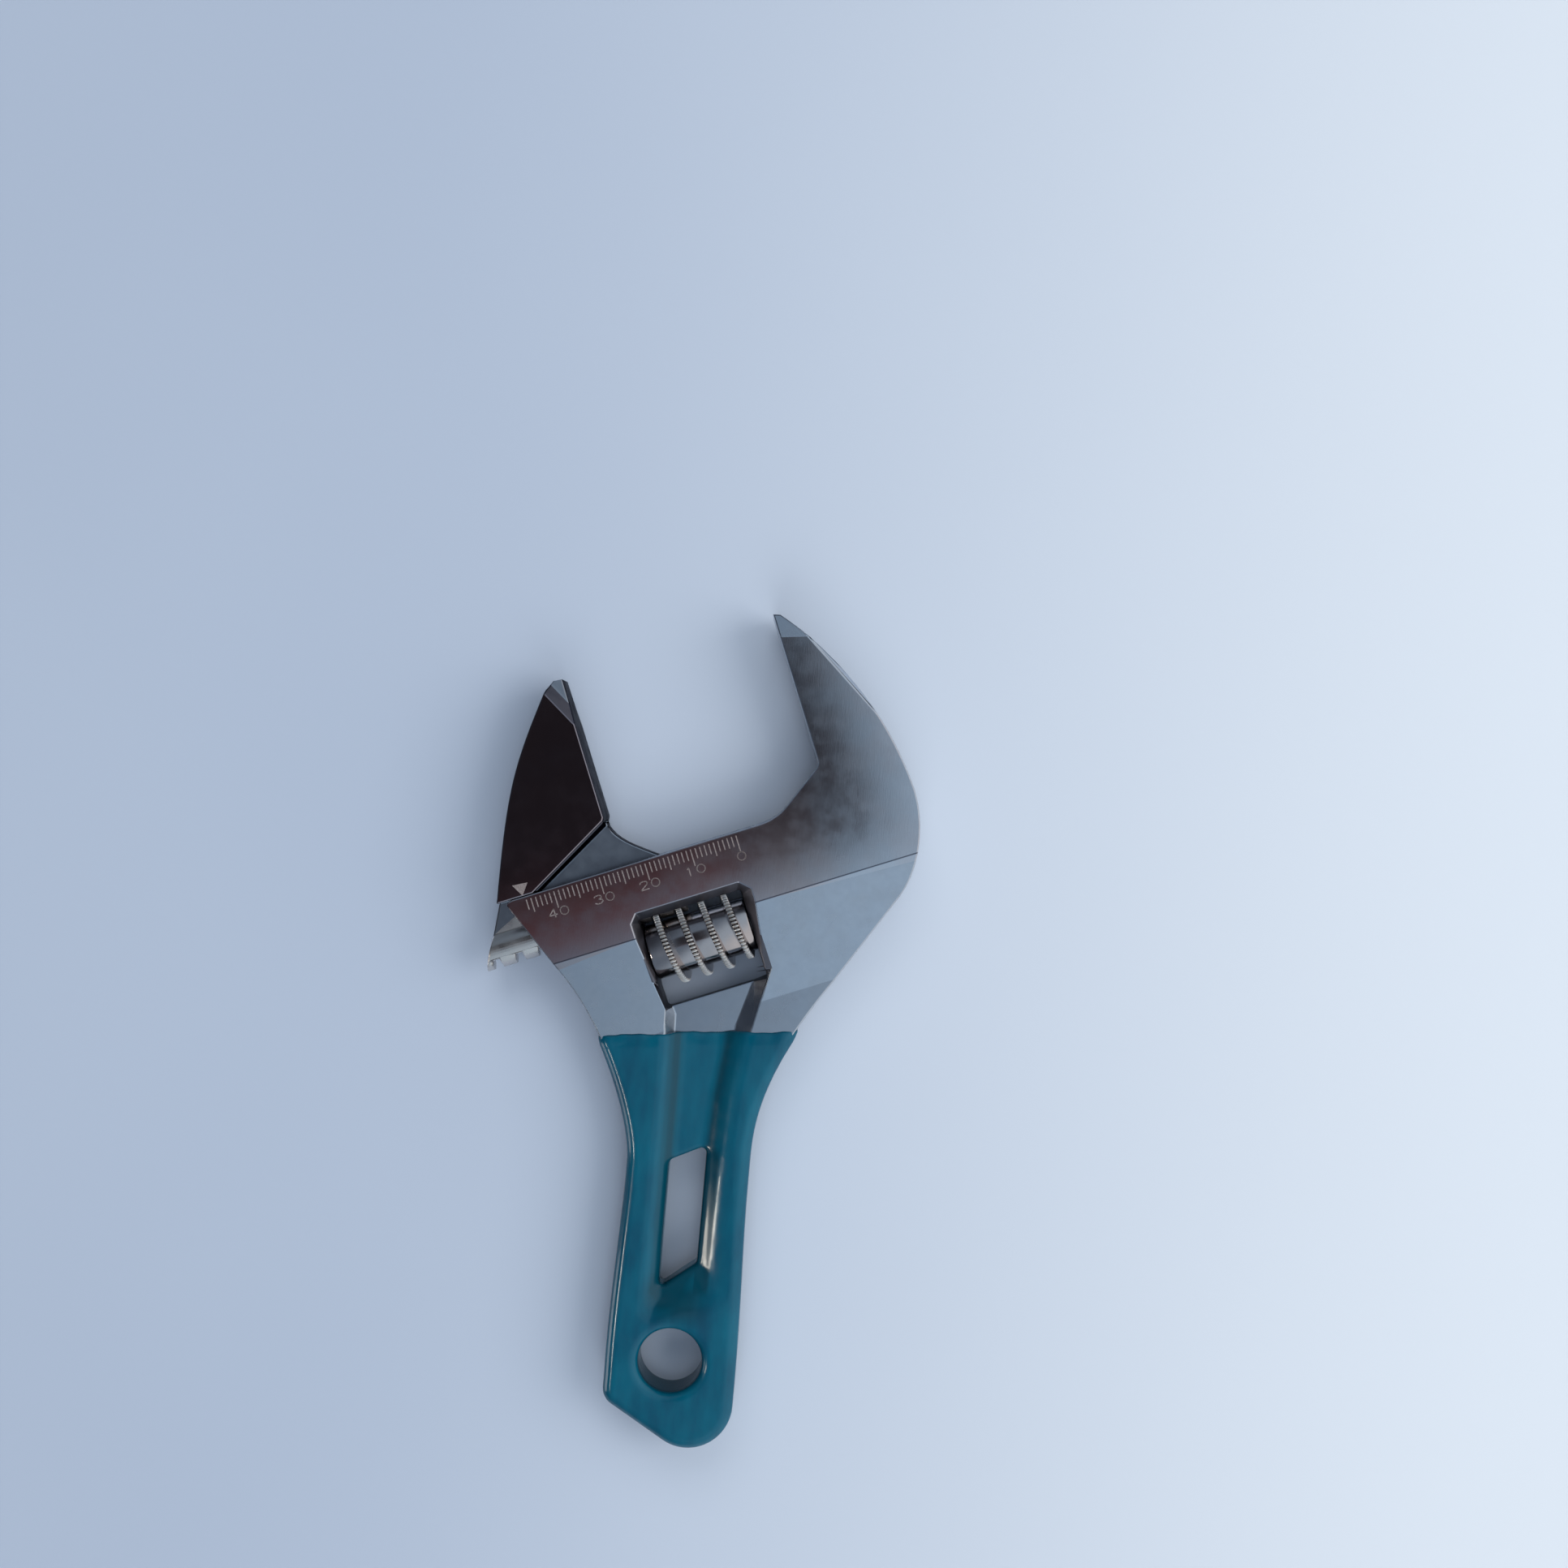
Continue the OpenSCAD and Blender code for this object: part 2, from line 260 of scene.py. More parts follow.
def ramp(nt, fac, stops):
    n = nt.nodes.new("ShaderNodeValToRGB")
    for e, (pos, col) in zip(n.color_ramp.elements, stops):
        e.position = pos
        e.color = (*col, 1)
    nt.links.new(fac, n.inputs[0])
    return n.outputs[0]


def mix(nt, fac, a, b):
    n = nt.nodes.new("ShaderNodeMix")
    n.data_type = "RGBA"
    for key, v in ((0, fac), (6, a), (7, b)):
        if isinstance(v, bpy.types.NodeSocket):
            nt.links.new(v, n.inputs[key])
        else:
            n.inputs[key].default_value = (*v, 1)
    return n.outputs[2]


def span(nt, value, lo, hi, out_lo=0.0, out_hi=1.0):
    """A smooth step from out_lo at lo to out_hi at hi."""
    inputs = {0: value, 1: lo, 2: hi, 3: out_lo, 4: out_hi}
    return put(nt, "ShaderNodeMapRange", inputs, interpolation_type="SMOOTHSTEP").outputs[0]


def noise(nt, scale, stretch=(1, 1, 1), turn=0.0, detail=3.0, rough=0.5):
    co = nt.nodes.new("ShaderNodeTexCoord")
    mp = put(nt, "ShaderNodeMapping", {0: co.outputs["Object"]})
    mp.inputs["Rotation"].default_value = (0, 0, turn)
    mp.inputs["Scale"].default_value = stretch
    inputs = {"Vector": mp.outputs[0], "Scale": scale, "Detail": detail, "Roughness": rough}
    return put(nt, "ShaderNodeTexNoise", inputs).outputs[0]


def object_xyz(nt):
    co = nt.nodes.new("ShaderNodeTexCoord")
    return put(nt, "ShaderNodeSeparateXYZ", {0: co.outputs["Object"]}).outputs[:3]


def head_xyz(nt):
    """Head coordinates s and n of the shaded point in metres, and z."""
    x, y, z = object_xyz(nt)
    x = math_node(nt, "SUBTRACT", x, FACE[0] * MM)
    y = math_node(nt, "SUBTRACT", y, FACE[1] * MM)
    s = math_node(nt, "ADD", math_node(nt, "MULTIPLY", x, COS), math_node(nt, "MULTIPLY", y, SIN))
    n = math_node(nt, "ADD", math_node(nt, "MULTIPLY", x, -SIN), math_node(nt, "MULTIPLY", y, COS))
    return s, n, z


# ---------------------------------------------------------------- materials
GRINDING = (0.8, 0.82, 0.86)  # colour of the grinding lines
CREASE_SHADE = (0.035, 0.04, 0.07)  # colour of the painted shade line along the crease


def steel(name, cool, warm, gloss, grain, grain_turn=0.0, bump=0.02, cloudy=0.35, warm_at=None,
          crease=False, edge_tint=(1.0, 1.0, 1.0)):
    """Plated steel: faint cloudy tint, fine grinding lines, uneven gloss, and a painted shade line along the
    crease.

    cool and warm are its two tints, gloss its least and greatest roughness, grain the scale of its lines on
    three axes, and warm_at the places along the head where the painted warm reflection is full and where it
    has faded out."""
    mat, nt, b = material(name)
    b.inputs["Metallic"].default_value = 1.0
    cloud = noise(nt, 95, detail=4.0, rough=0.6)
    tint = span(nt, cloud, 0.34, 0.66, 0.0, cloudy)
    along, across, z = head_xyz(nt)
    if warm_at:
        # painted reflection: the steel turns warm towards the scale end of the head, standing for a brown
        # shape mirrored there
        painted_reflection = span(nt, along, warm_at[0] * MM, warm_at[1] * MM, 1.0 - cloudy, 0.0)
        tint = math_node(nt, "ADD", tint, painted_reflection)
    colour = mix(nt, tint, cool, warm)
    lines = noise(nt, 1.0, stretch=grain, turn=grain_turn, detail=2.0)
    shine = 0.05 * min(1.0, 2 * cool[1])  # fainter on a dark steel
    colour = mix(nt, span(nt, lines, 0.3, 0.7, 0.0, shine), colour, GRINDING)
    # painted shade: a thin dark line along the crease where the shoulders start to slope, on the faces only
    if crease:
        off = math_node(nt, "ABSOLUTE", math_node(nt, "SUBTRACT", across, CREASE_N * MM))
        near_face = span(nt, math_node(nt, "ABSOLUTE", z), 6.2 * MM, 6.4 * MM)
        line = math_node(nt, "MULTIPLY", span(nt, off, 0.05 * MM, 0.22 * MM, 0.8, 0.0), near_face)
        colour = mix(nt, line, colour, CREASE_SHADE)
    nt.links.new(colour, b.inputs["Base Color"])
    b.inputs["Specular Tint"].default_value = (*edge_tint, 1)
    wear = noise(nt, 260, detail=3.0)
    nt.links.new(span(nt, wear, 0.3, 0.7, *gloss), b.inputs["Roughness"])
    bp = put(nt, "ShaderNodeBump", {"Height": lines, "Strength": bump, "Distance": 0.05 * MM})
    nt.links.new(bp.outputs[0], b.inputs["Normal"])
    return mat


ALONG_HEAD = (9000, 500, 9000)
ALONG_BAR = (500, 8000, 8000)
EVEN = (700, 700, 700)
WIRE = (6000, 6000, 6000)
# warm_at paints a warm reflection onto the polished faces near the scale
polished = steel("polished_steel", (0.49, 0.52, 0.57), (0.53, 0.46, 0.46), (0.07, 0.11),
                 ALONG_HEAD, -HEAD, warm_at=(-14, 2), crease=True)
satin = steel("satin_steel", (0.47, 0.51, 0.57), (0.46, 0.48, 0.51), (0.20, 0.28), EVEN, crease=True)
# a near-black copy of the steel with a dim edge tint for the inside of the worm's window: painted shade
painted_shade_steel = steel("painted_shade_steel", (0.15, 0.145, 0.165), (0.13, 0.12, 0.13), (0.30, 0.42),
                    EVEN, bump=0.05, edge_tint=(0.5, 0.5, 0.5))
jaw_polished = steel("jaw_polished_steel", (0.29, 0.25, 0.27), (0.32, 0.25, 0.25), (0.07, 0.11),
                     ALONG_HEAD, -HEAD)
# near-black base with a dim edge tint: painted shade and dark reflection on the jaw's sides and tip facets
jaw_satin = steel("jaw_satin_steel", (0.080, 0.080, 0.100), (0.075, 0.070, 0.085), (0.18, 0.26),
                  EVEN, edge_tint=(0.10, 0.10, 0.12))
# a lighter copy of the jaw's forged steel, for the neck's level faces
neck_steel = steel("neck_steel", (0.26, 0.28, 0.32), (0.22, 0.235, 0.265), (0.28, 0.38), EVEN)
rack_steel = steel("rack_steel", (0.66, 0.61, 0.57), (0.56, 0.51, 0.47), (0.24, 0.34),
                   ALONG_BAR, -HEAD, bump=0.06)
worm_mat = steel("worm_steel", (0.46, 0.41, 0.40), (0.38, 0.34, 0.33), (0.12, 0.20), EVEN, bump=0.03)
# a pale copy of the worm's steel for the crests: painted highlight
crest_mat = steel("pale_crest_steel", (0.86, 0.82, 0.78), (0.74, 0.69, 0.65), (0.40, 0.50), EVEN, bump=0.03)
pin_mat = steel("pin_steel", (0.45, 0.45, 0.46), (0.40, 0.38, 0.37), (0.25, 0.38), EVEN, bump=0.10)
spring_mat = steel("spring_steel", (0.55, 0.55, 0.56), (0.45, 0.44, 0.44), (0.20, 0.32), WIRE, bump=0.05)

# laser marks: pale, matt, a little uneven
mark_mat, nt, b = material("laser_mark")
b.inputs["Metallic"].default_value = 0.2
b.inputs["Roughness"].default_value = 0.6
speck = noise(nt, 5200, detail=2.0)
colour = ramp(nt, speck, [(0.35, (0.14, 0.105, 0.10)), (0.65, (0.30, 0.26, 0.25))])
nt.links.new(colour, b.inputs["Base Color"])

# dipped grip: glossy, slightly cloudy teal. The vertex colour holds in red how dark it is: where the plastic
# pools thick in the corners, and painted shade on walls and hollows turned from the light;
# and in green how pale, at the lips of the openings.
dip_mat, nt, b = material("dipped_grip")
pooling_and_shade = nt.nodes.new("ShaderNodeVertexColor")
pooling_and_shade.layer_name = "pooling_and_shade"
dark_pooling_and_shade, pale = put(nt, "ShaderNodeSeparateColor", {0: pooling_and_shade.outputs[0]}).outputs[:2]
cloud = noise(nt, 120, stretch=(1.6, 0.5, 1.6), detail=4.0, rough=0.55)
colour = ramp(nt, cloud, [(0.30, (0.000, 0.053, 0.096)), (0.70, (0.000, 0.096, 0.150))])
# the red channel darkens towards near-black teal: painted shade, with the pooled plastic in the corners
colour = mix(nt, math_node(nt, "MULTIPLY", dark_pooling_and_shade, 0.82, True), colour, (0.000, 0.014, 0.024))
colour = mix(nt, math_node(nt, "MULTIPLY", pale, 0.20, True), colour, (0.004, 0.12, 0.18))
nt.links.new(colour, b.inputs["Base Color"])
nt.links.new(span(nt, noise(nt, 300, detail=2.0), 0.3, 0.7, 0.16, 0.26), b.inputs["Roughness"])
b.inputs["IOR"].default_value = 1.34
b.inputs["Coat Weight"].default_value = 0.15
b.inputs["Coat Roughness"].default_value = 0.06
dimples = noise(nt, 420, detail=2.0)
bp = put(nt, "ShaderNodeBump", {"Height": dimples, "Strength": 0.12, "Distance": 0.2 * MM})
nt.links.new(bp.outputs[0], b.inputs["Normal"])


# ---------------------------------------------------------------- steel parts
def paint(obj, mats, choose):
    for m in mats:
        obj.data.materials.append(m)
    for p in obj.data.polygons:
        p.material_index = choose(p)


def body_part(p):
    """0 the polished faces, 1 the satin rest, 2 the inside of the window, in a near-black steel that paints
    the shade in there.
    """
    z, up = abs(p.center.z) / MM, abs(p.normal.z)
    if z > TOP - 0.1 and up > 0.95:
        return 0
    s, n = to_head(p.center.x / MM, p.center.y / MM)
    in_window = WINDOW_S[0] < s < WINDOW_S[1] and WINDOW_N[0] < n < WINDOW_N[1]
    return 2 if in_window and (z < TOP - 0.3 or up < 0.8) else 1


def jaw_part(p):
    """0 the polished faces, 1 the satin sides, near-black with painted shade, 2 the rack bar, 3 the thin
    neck's level faces, in a lighter copy of the same steel.
    """
    z, up = abs(p.center.z) / MM, abs(p.normal.z)
    if z > TOP - 0.2 and up > 0.95:
        return 0
    if to_head(p.center.x / MM, p.center.y / MM)[1] < -3.5:
        return 2
    return 3 if up > LEVEL and z < 5 else 1


body = bevelled_copy("body", "forged_body", 0.28)
paint(body, [polished, satin, painted_shade_steel], body_part)
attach(body, "frame")
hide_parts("body")

jaw = bevelled_copy("movable_jaw", "sliding_jaw", 0.3)
paint(jaw, [jaw_polished, jaw_satin, rack_steel, neck_steel], jaw_part)
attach(jaw, "jaw")
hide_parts("movable_jaw")

for node, mat in (("worm_pin", pin_mat), ("worm_spring", spring_mat)):
    obj = nodes[node]
    obj.data.materials.clear()
    obj.data.materials.append(mat)


# ---------------------------------------------------------------- worm
def revolve(profile, steps):
    """Closed profile of (axial, radius) turned about the worm's axis, as head points and faces."""
    k = len(profile)
    pts, faces = [], []
    for i in range(steps):
        a = 2 * math.pi * i / steps
        pts += [(s, -WORM_N + r * math.cos(a), r * math.sin(a)) for s, r in profile]
    for i in range(steps):
        for j in range(k):
            a, b2 = i * k + j, i * k + (j + 1) % k
            c, d = ((i + 1) % steps) * k + (j + 1) % k, ((i + 1) % steps) * k + j
            faces.append((a, d, c, b2))
    return pts, faces


PITCH, TURNS = 5.0, 3.9
THREAD_START, THREAD_PHASE = -44.8, -144  # the thread's first s, and its angle there in degrees
RUN_OUT = 0.1  # turns over which each end of the thread fades out
RINGS_PER_TURN, NOTCHES, NOTCH_DEPTH = 480, 60, 0.8
ROOT_R, LAND_R = 5.5, 7.6  # the thread's foot inside the core, and the radius outside which it is notched
BRIGHT_R = 7.68  # the radius outside which a face gets the pale crest steel, a painted highlight; inside it the notches' floors and the flanks keep the darker steel, painted shade
THREAD = [(ROOT_R, -0.92), (7.55, -0.66), (7.95, -0.58), (8.08, -0.42), (8.1, 0.0),
          (8.08, 0.42), (7.95, 0.58), (7.55, 0.66), (ROOT_R, 0.92)]


def worm_thread():
    """A thread of profile THREAD (radius, axial), its crest cut by small V notches."""
    rings = int(TURNS * RINGS_PER_TURN)
    pts, faces, k = [], [], len(THREAD)
    for i in range(rings + 1):
        t = TURNS * i / rings
        a = math.radians(360 * t + THREAD_PHASE)
        ends = min(1, t / RUN_OUT, (TURNS - t) / RUN_OUT)
        cut = max(0, 1 - 3 * abs((NOTCHES * t) % 1 - 0.5))
        for r, off in THREAD:
            if r > LAND_R:
                r -= NOTCH_DEPTH * cut
            r = ROOT_R + (r - ROOT_R) * (0.15 + 0.85 * math.sqrt(max(ends, 0)))
            pts.append((THREAD_START + off + PITCH * t, -WORM_N + r * math.cos(a), r * math.sin(a)))
    for i in range(rings):
        for j in range(k):
            faces.append((i * k + j, i * k + (j + 1) % k, (i + 1) * k + (j + 1) % k, (i + 1) * k + j))
    faces.append(tuple(range(k - 1, -1, -1)))
    faces.append(tuple(rings * k + j for j in range(k)))
    return pts, faces


CORE_START = -45.85
# the core as (axial from its start, radius): rounded ends, the pin's bore, the spring's counterbore
CORE = [(0, 5.45), (0.12, 5.75), (0.4, 5.9), (21.7, 5.9), (21.98, 5.75), (22.1, 5.45),
        (22.1, 2.3), (21.9, 2.06), (5.2, 2.06), (5.2, 3.7), (0, 3.7)]
pts, faces = revolve([(CORE_START + s, r) for s, r in CORE], 120)
more, more_faces = worm_thread()
faces = faces + [tuple(i + len(pts) for i in f) for f in more_faces]
worm = new_object("knurled_worm", from_head(pts + more), faces)
worm.data.materials.append(worm_mat)
worm.data.materials.append(crest_mat)
bm = bmesh.new()
bm.from_mesh(worm.data)
bmesh.ops.recalc_face_normals(bm, faces=bm.faces)
for e in bm.edges:
    if len(e.link_faces) == 2 and e.calc_face_angle(0) > math.radians(38):
        e.smooth = False
for f in bm.faces:
    # pale crest steel beyond BRIGHT_R paints the highlight, the darker steel below it paints shade in the
    # notches
    x, y, z = np.array(f.calc_center_median()) / MM
    f.material_index = 1 if math.hypot(to_head(x, y)[1] + WORM_N, z) > BRIGHT_R else 0
bm.to_mesh(worm.data)
bm.free()
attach(worm, "worm_screw")
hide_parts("worm")


# ---------------------------------------------------------------- dipped grip
# the steel handle's outline, which the skin of plastic follows
handle = np.vstack([
    bezier((28, 83.7), (12.4, 61.4), (12.4, 51), (12.4, 42), 28),
    bezier((12.4, 38), (12.3, 26), (13.4, 10), (13.2, -8.8), 14),
    arc((4.6, -8.8), 8.6, -6, -120, 26),
    arc((-9.8, -6.9), 3, -120, -180, 10),
    bezier((-12.8, -4), (-13.2, 10), (-12, 26), (-11.9, 38), 14),
    bezier((-11.9, 42), (-12.4, 52), (-21.2, 71.5), (-30.4, 80.6), 28)])
DIP = 0.9  # thickness of the plastic


def lined(pts, signs):
    return np.array([(px + sx * DIP, py + sy * DIP) for (px, py), (sx, sy) in zip(pts, signs)])


# the channel in the steel at the handle's face and at its floor, drawn in by the plastic that lines it
SIDES = [(-1, 1)] + [(1, 1)] * 2 + [(1, 0)] * 4 + [(-1, 0)] * 4 + [(-1, 1)]
channel_top = lined([(7.2, 13.6), (-5.6, 8.4), (-6.9, 9.4), (-7, 40), (-7, 57), (-7.2, 74), (-10.2, 79.5),
                     (14, 84.5), (11.2, 71.5), (9.3, 57), (8.6, 40), (8.4, 15.5)], SIDES)
channel_floor = lined([(4.2, 18.7), (-4.1, 13.6), (-4.9, 14), (-5, 40), (-5, 57), (-5.4, 73), (-7.4, 77),
                       (11.2, 83), (7.8, 71.5), (6, 57), (5.2, 40), (5, 19.6)], SIDES)
half = 4.7 - DIP  # half the slot's width
slot = np.vstack([
    arc((-half + 1.4, 41.9 - DIP), 1.4, 180, 118, 5), arc((half - 1, 44.9 - DIP), 1, 118, 0, 8),
    arc((half - 1.6, 20.6 + DIP), 1.6, 0, -64, 5), arc((-half + 0.8, 15.5 + DIP), 0.8, -64, -180, 7)])
HOLE_R = 7.6 - DIP
WEB = 1.6  # half the steel's thickness at the channel's floor
DIP_LINE_Y, DIP_LINE_TURN = 69.6, math.radians(6)  # where the dipping ends


def flat_fields(x, y):
    """What the grip's shape needs to know of a place in the handle's plane, all in millimetres."""
    n = to_head(x, y)[1]
    line = -math.sin(DIP_LINE_TURN) * x + math.cos(DIP_LINE_TURN) * (y - DIP_LINE_Y)
    line = line + 0.12 * np.sin(x * 0.55) + 0.05 * np.sin(x * 1.7)  # not quite straight, as dipped
    wall = DIP - 0.5 * fade(line, 0, -3.0) ** 2  # thins out to the line
    return {
        "out": polygon_distance(x, y, handle) - wall,
        "top": 4.0 + np.clip((n + 36) * 2.5 / 20.6, 0, 2.5) + wall,
        "web": WEB + wall,
        "ch_top": polygon_distance(x, y, channel_top),
        "ch_floor": polygon_distance(x, y, channel_floor),
        "slot": polygon_distance(x, y, slot),
        "hole": np.hypot(x, y) - HOLE_R,
        "line": line,
        # how softly the channel's wall meets the face: softest on the right, towards the hole
        "rim": 1.5 + 1.6 * fade(y, 22, 44) * fade(x, 5, 1),
    }


# the bevel round the grip's outline: how far it reaches in, and its slope
EDGE = 1.5
SLOPE = (math.sin(math.radians(42)), math.cos(math.radians(42)))


def grip_field(f, z, parts=False):
    """Distance to the grip's surface, negative inside, or with parts what its colouring needs."""
    az = np.abs(z)
    bevel = f["out"] * SLOPE[0] + (az - f["top"]) * SLOPE[1] + EDGE * SLOPE[0]
    shell = smooth_max(smooth_max(f["out"], bevel, 0.5), az - f["top"], 0.7)
    t = np.clip((az - f["web"]) / (f["top"] - f["web"]), -0.2, 1.2)
    wall = 0.68 * (f["ch_floor"] + (f["ch_top"] - f["ch_floor"]) * t)
    floor = f["web"] - az
    cavity = smooth_max(wall, floor, 1.5)
    d = smooth_max(shell, -cavity, f["rim"])
    d = smooth_max(d, -f["slot"], 1.3)
    d = smooth_max(d, -f["hole"], 2.2)
    if parts:
        sharp = np.maximum(np.maximum(shell, -f["slot"]), -f["hole"])
        return cavity - np.maximum(wall, floor), d - sharp, cavity
    return smooth_max(d, f["line"], 0.25)


step = 0.36
lo, hi = np.array([-27.0, -19.6, -7.0]), np.array([27.0, 74.0, 7.0])
axes = [np.arange(a, b2 + step, step) for a, b2 in zip(lo, hi)]
gx, gy = np.meshgrid(axes[0], axes[1], indexing="ij")
flat = {k: v[:, :, None] for k, v in flat_fields(gx, gy).items()}
verts, quads = surface_nets(grip_field(flat, axes[2][None, None, :]), lo, step)
# draw the vertices onto the true surface, in careful steps along the field's slope
NUDGE = 0.02
STEP_SHARE, STEP_LIMIT, LEAST_SLOPE = 0.9, 0.3, 0.2
for _ in range(3):
    f0 = flat_fields(verts[:, 0], verts[:, 1])
    value = grip_field(f0, verts[:, 2])
    gxv = grip_field(flat_fields(verts[:, 0] + NUDGE, verts[:, 1]), verts[:, 2]) - value
    gyv = grip_field(flat_fields(verts[:, 0], verts[:, 1] + NUDGE), verts[:, 2]) - value
    gzv = grip_field(f0, verts[:, 2] + NUDGE) - value
    grad = np.stack([gxv, gyv, gzv], 1) / NUDGE
    size = np.maximum((grad**2).sum(1), LEAST_SLOPE)
    move = np.clip(value / size, -STEP_LIMIT, STEP_LIMIT)[:, None] * grad
    verts = verts - STEP_SHARE * move
grip = new_object("dipped_handle_grip", verts, quads)

# the vertex colours: dark where the plastic pools in the channel's corners, and painted shade on the
# channel's walls, the hole's bore, between slot and hole and beside the slot; pale at the lips
x, y, z = verts.T
corner, lip, cavity = grip_field(flat_fields(x, y), z, parts=True)
level = np.abs(grad[:, 2]) / np.sqrt((grad**2).sum(1))
in_channel = fade(cavity, 0, 0.6) * fade(level, 0.80, 0.95)
in_bore = fade(level, 0.2, 0.5) * (np.hypot(x, y) < 8)
between = np.clip(1.3 - np.abs(y - 13) / 4.5, 0, 1) * np.clip(1.6 - np.abs(x) / 5, 0, 1)
beside = fade(x, 6.3, 7.0) * fade(x, 3.9, 3.5) * fade(y, 17, 14) * fade(y, 42, 46)
colours = np.ones((len(verts), 4), np.float32)
# red: painted shade on walls, bore, below and beside the slot, added to the corners' pooled plastic
colours[:, 0] = np.clip(corner / 0.3 + 0.6 * in_channel + in_bore + between + 1.2 * beside, 0, 1)
colours[:, 1] = np.clip(lip / 0.3, 0, 1)
attr = grip.data.color_attributes.new("pooling_and_shade", "FLOAT_COLOR", "POINT")
attr.data.foreach_set("color", colours.ravel())
grip.data.materials.append(dip_mat)
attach(grip, "frame")
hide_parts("grip")


# ---------------------------------------------------------------- scale, numbers and pointer
MARK_LOW, MARK_HIGH = TOP - 0.03, TOP + 0.012  # a mark's underside and its face, a hair above the steel


def strokes(lines, width):
    """Thin flat bars along each polyline, in head coordinates."""
    pts, faces = [], []
    for line in lines:
        for (ax, ay), (bx, by) in zip(line, line[1:]):
            d = np.array([bx - ax, by - ay])
            d = d / np.hypot(*d)
            side = np.array([-d[1], d[0]]) * width / 2
            a = np.array([ax, ay]) - d * width * 0.25
            b2 = np.array([bx, by]) + d * width * 0.25
            k = len(pts)
            corners = (a - side, b2 - side, b2 + side, a + side)
            pts += [(*q, MARK_LOW) for q in corners] + [(*q, MARK_HIGH) for q in corners]
            faces += [(k + 4, k + 5, k + 6, k + 7), (k + 3, k + 2, k + 1, k)]
            faces += [(k + j, k + (j + 1) % 4, k + 4 + (j + 1) % 4, k + 4 + j) for j in range(4)]
    return pts, faces


def merge(parts):
    pts, faces = [], []
    for p, f in parts:
        faces += [tuple(i + len(pts) for i in q) for q in f]
        pts += p
    return pts, faces


# each digit's strokes in a unit square
ring = [(0.5 + 0.5 * math.cos(a), 0.5 + 0.5 * math.sin(a)) for a in np.linspace(0, 2 * math.pi, 19)]
DIGITS = {
    "0": [ring],
    "1": [[(0.5, 0), (0.5, 1)], [(0.5, 1), (0.32, 0.82)]],
    "2": [[(0.04, 0.78), (0.16, 0.95), (0.5, 1), (0.84, 0.95), (0.96, 0.76), (0.84, 0.56), (0.0, 0.0),
           (1.0, 0.0)]],
    "3": [[(0.04, 0.86), (0.25, 0.98), (0.6, 1), (0.9, 0.88), (0.9, 0.66), (0.55, 0.52), (0.92, 0.42),
           (0.98, 0.2), (0.7, 0.02), (0.3, 0.0), (0.02, 0.14)]],
    "4": [[(0.72, 0), (0.72, 1), (0.0, 0.3), (1.0, 0.3)]],
}
DIGIT, DIGIT_GAP, DIGIT_N = 1.75, 0.75, -6.1  # a digit's side, the gap after it, and its foot's n
DIGIT_STROKE, TICK_STROKE = 0.22, 0.24


def number(text, right):
    parts = []
    total = len(text) * DIGIT + (len(text) - 1) * DIGIT_GAP
    for i, ch in enumerate(text):
        left = right - total + i * (DIGIT + DIGIT_GAP)
        lines = [[(left + px * DIGIT, DIGIT_N + py * DIGIT) for px, py in line] for line in DIGITS[ch]]
        parts.append(strokes(lines, DIGIT_STROKE))
    return merge(parts)


ZERO_S = -21.1  # the scale's zero tick
TICK_N = -0.85  # the ticks' upper ends
ticks = []
for k in range(47):
    s = ZERO_S - k
    long = 3.5 if k % 10 == 0 else 2.8 if k % 5 == 0 else 2.1
    ticks.append([(s, TICK_N), (s, TICK_N - long)])
parts = [strokes(ticks, TICK_STROKE)]
for k, text in enumerate(("0", "10", "20", "30", "40")):
    parts.append(number(text, ZERO_S - 10 * k + (0.8 if k == 0 else 1.9)))
pts, faces = merge(parts)
marks = new_object("scale_marks", from_head(pts), faces, smooth=False)
marks.data.materials.append(mark_mat)
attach(marks, "frame")

tri = [(-69.1, 2.9), (-67.6, 0.2), (-65.8, 2.6)]
pts = [(*q, MARK_LOW) for q in tri] + [(*q, MARK_HIGH) for q in tri]
faces = [(3, 4, 5), (2, 1, 0)] + [(j, (j + 1) % 3, 3 + (j + 1) % 3, 3 + j) for j in range(3)]
pointer = new_object("pointer_mark", from_head(pts), faces, smooth=False)
pointer.data.materials.append(mark_mat)
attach(pointer, "jaw")


# ---------------------------------------------------------------- floor
FLOOR = 4000  # half the floor's side, in millimetres
corners = [(-FLOOR, -FLOOR, 0), (FLOOR, -FLOOR, 0), (FLOOR, FLOOR, 0), (-FLOOR, FLOOR, 0)]
floor = new_object("floor", corners, [(0, 1, 2, 3)])
floor.location.z = cad_bounds[0][2] - 0.00005
floor_mat, nt, b = material("pale_floor")
# painted light: the floor is darker on the left near the wrench and paler on the right, as the light falls
rightward = span(nt, object_xyz(nt)[0], -0.10, 0.24)
colour = mix(nt, rightward, (0.425, 0.480, 0.575), (0.705, 0.735, 0.770))
colour = mix(nt, span(nt, noise(nt, 6, detail=2.0), 0.3, 0.7, 0.0, 0.06), colour, (0.66, 0.71, 0.77))
nt.links.new(colour, b.inputs["Base Color"])
b.inputs["Roughness"].default_value = 0.8
b.inputs["Specular IOR Level"].default_value = 0.0
floor.data.materials.append(floor_mat)


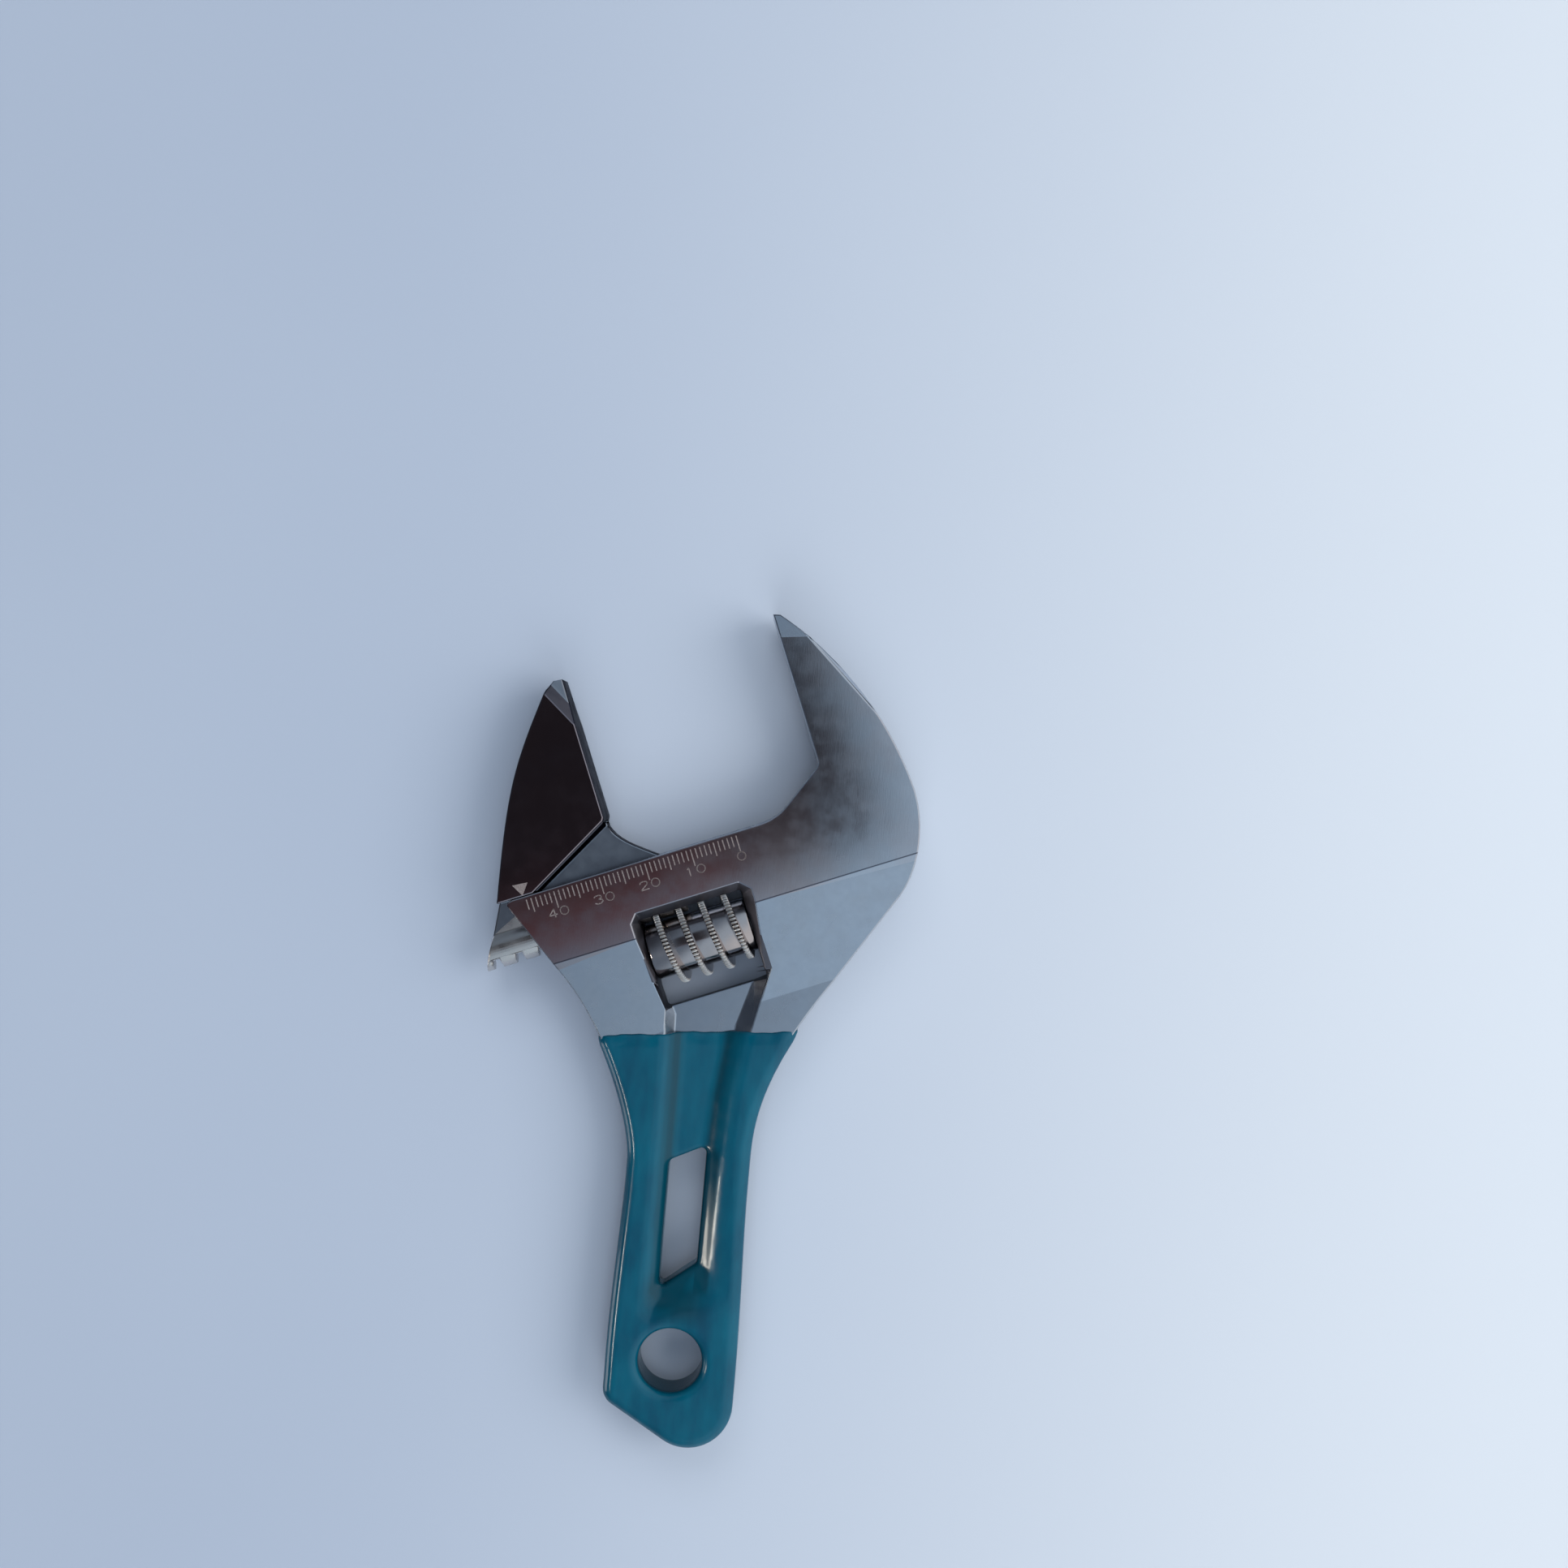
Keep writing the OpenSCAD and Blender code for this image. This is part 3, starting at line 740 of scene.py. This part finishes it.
# ---------------------------------------------------------------- world: what the metal mirrors
world = bpy.data.worlds.new("studio")
bpy.context.scene.world = world
world.use_nodes = True
nt = world.node_tree
nt.nodes.clear()
out = nt.nodes.new("ShaderNodeOutputWorld")
bg = nt.nodes.new("ShaderNodeBackground")
nt.links.new(bg.outputs[0], out.inputs[0])
co = nt.nodes.new("ShaderNodeTexCoord")
dx, dy, dz = put(nt, "ShaderNodeSeparateXYZ", {0: co.outputs["Generated"]}).outputs[:3]
sky = mix(nt, span(nt, dx, -0.16, 0.16), (0.185, 0.245, 0.325), (0.52, 0.65, 0.78))
sky = mix(nt, span(nt, dx, 0.25, 0.60), sky, (0.82, 0.86, 0.90))
# low on the left and at the far side the room is dim
dim = math_node(nt, "MAXIMUM", span(nt, dx, -0.75, -0.40, 1.0, 0.0), span(nt, dy, 0.80, 0.92))
sky = mix(nt, dim, sky, (0.045, 0.055, 0.075))
# the dark patch overhead that polished faces mirror: a soft box, turned with the head
up = math_node(nt, "MAXIMUM", dz, 0.05)
tx, ty = math_node(nt, "DIVIDE", dx, up), math_node(nt, "DIVIDE", dy, up)
overhead = put(nt, "ShaderNodeCombineXYZ", {0: tx, 1: ty}).outputs[0]
turned = put(nt, "ShaderNodeVectorRotate", {"Vector": overhead, "Angle": math.radians(-25)},
             rotation_type="Z_AXIS")
across, ahead = put(nt, "ShaderNodeSeparateXYZ", {0: turned.outputs[0]}).outputs[:2]
patch = math_node(nt, "MULTIPLY", span(nt, across, 0.028, 0.080, 1.0, 0.0), span(nt, across, -0.42, -0.30))
patch = math_node(nt, "MULTIPLY", patch, span(nt, ahead, -0.070, -0.038))
patch = math_node(nt, "MULTIPLY", patch, span(nt, ahead, 0.60, 0.78, 1.0, 0.0))
patch = math_node(nt, "MULTIPLY", patch, span(nt, dz, 0.0, 0.2))
low_edge = mix(nt, span(nt, across, -0.08, -0.01), (0.135, 0.060, 0.066), (0.090, 0.090, 0.105))
dark = mix(nt, span(nt, ahead, -0.055, 0.005), low_edge, (0.030, 0.027, 0.033))
surroundings = mix(nt, patch, sky, dark)
# seen directly, past the floor's edge, the room is a plain pale backdrop
seen = nt.nodes.new("ShaderNodeLightPath").outputs["Is Camera Ray"]
nt.links.new(mix(nt, seen, surroundings, (0.60, 0.66, 0.75)), bg.inputs[0])
bg.inputs[1].default_value = 1.0


# ---------------------------------------------------------------- lights
WHITE = (1.0, 1.0, 1.0)
TOOL = (0.0, 0.09, 0.0)  # the middle of the wrench


def area(name, at, size, power, colour, target, mirrored=False):
    """An area light that is either only mirrored by the metal and the plastic, or never."""
    data = bpy.data.lights.new(name, "AREA")
    data.shape = "RECTANGLE"
    data.size, data.size_y = size
    data.energy = power
    data.color = colour
    obj = bpy.data.objects.new(name, data)
    bpy.context.scene.collection.objects.link(obj)
    obj.location = at
    obj.rotation_euler = (Vector(target) - Vector(at)).to_track_quat("-Z", "Y").to_euler()
    obj.visible_glossy = mirrored
    obj.visible_diffuse = not mirrored
    obj.visible_camera = False


area("right", (1.00, 0.20, 0.90), (0.9, 0.9), 7.6, WHITE, TOOL)
area("near", (0.15, -0.85, 0.95), (0.9, 0.7), 4.2, WHITE, TOOL)
area("far", (-0.15, 1.05, 0.95), (0.9, 0.7), 4.2, WHITE, TOOL)
area("top", (0.0, 0.04, 0.9), (0.4, 0.4), 0.9, (0.85, 0.97, 1.15), (0.0, 0.04, 0.0))
area("lamp", (-0.42, -0.175, 0.42), (0.10, 0.035), 0.50, (1.0, 0.92, 0.80), TOOL, mirrored=True)
area("window", (-0.26, -0.095, 0.032), (0.10, 0.075), 0.09, (1.0, 1.0, 1.02), (0.0, -0.095, 0.032),
     mirrored=True)


# ---------------------------------------------------------------- camera, straight above
cam = bpy.data.cameras.new("camera")
cam.sensor_width = 36
cam.lens = 36.09
cam.clip_start = 0.01
cam_obj = bpy.data.objects.new("camera", cam)
bpy.context.scene.collection.objects.link(cam_obj)
cam_obj.location = (0.01347, 0.12374, 0.3365)
cam_obj.rotation_euler = (0, 0, math.radians(5))
bpy.context.scene.camera = cam_obj
bpy.context.scene.view_settings.view_transform = "Standard"
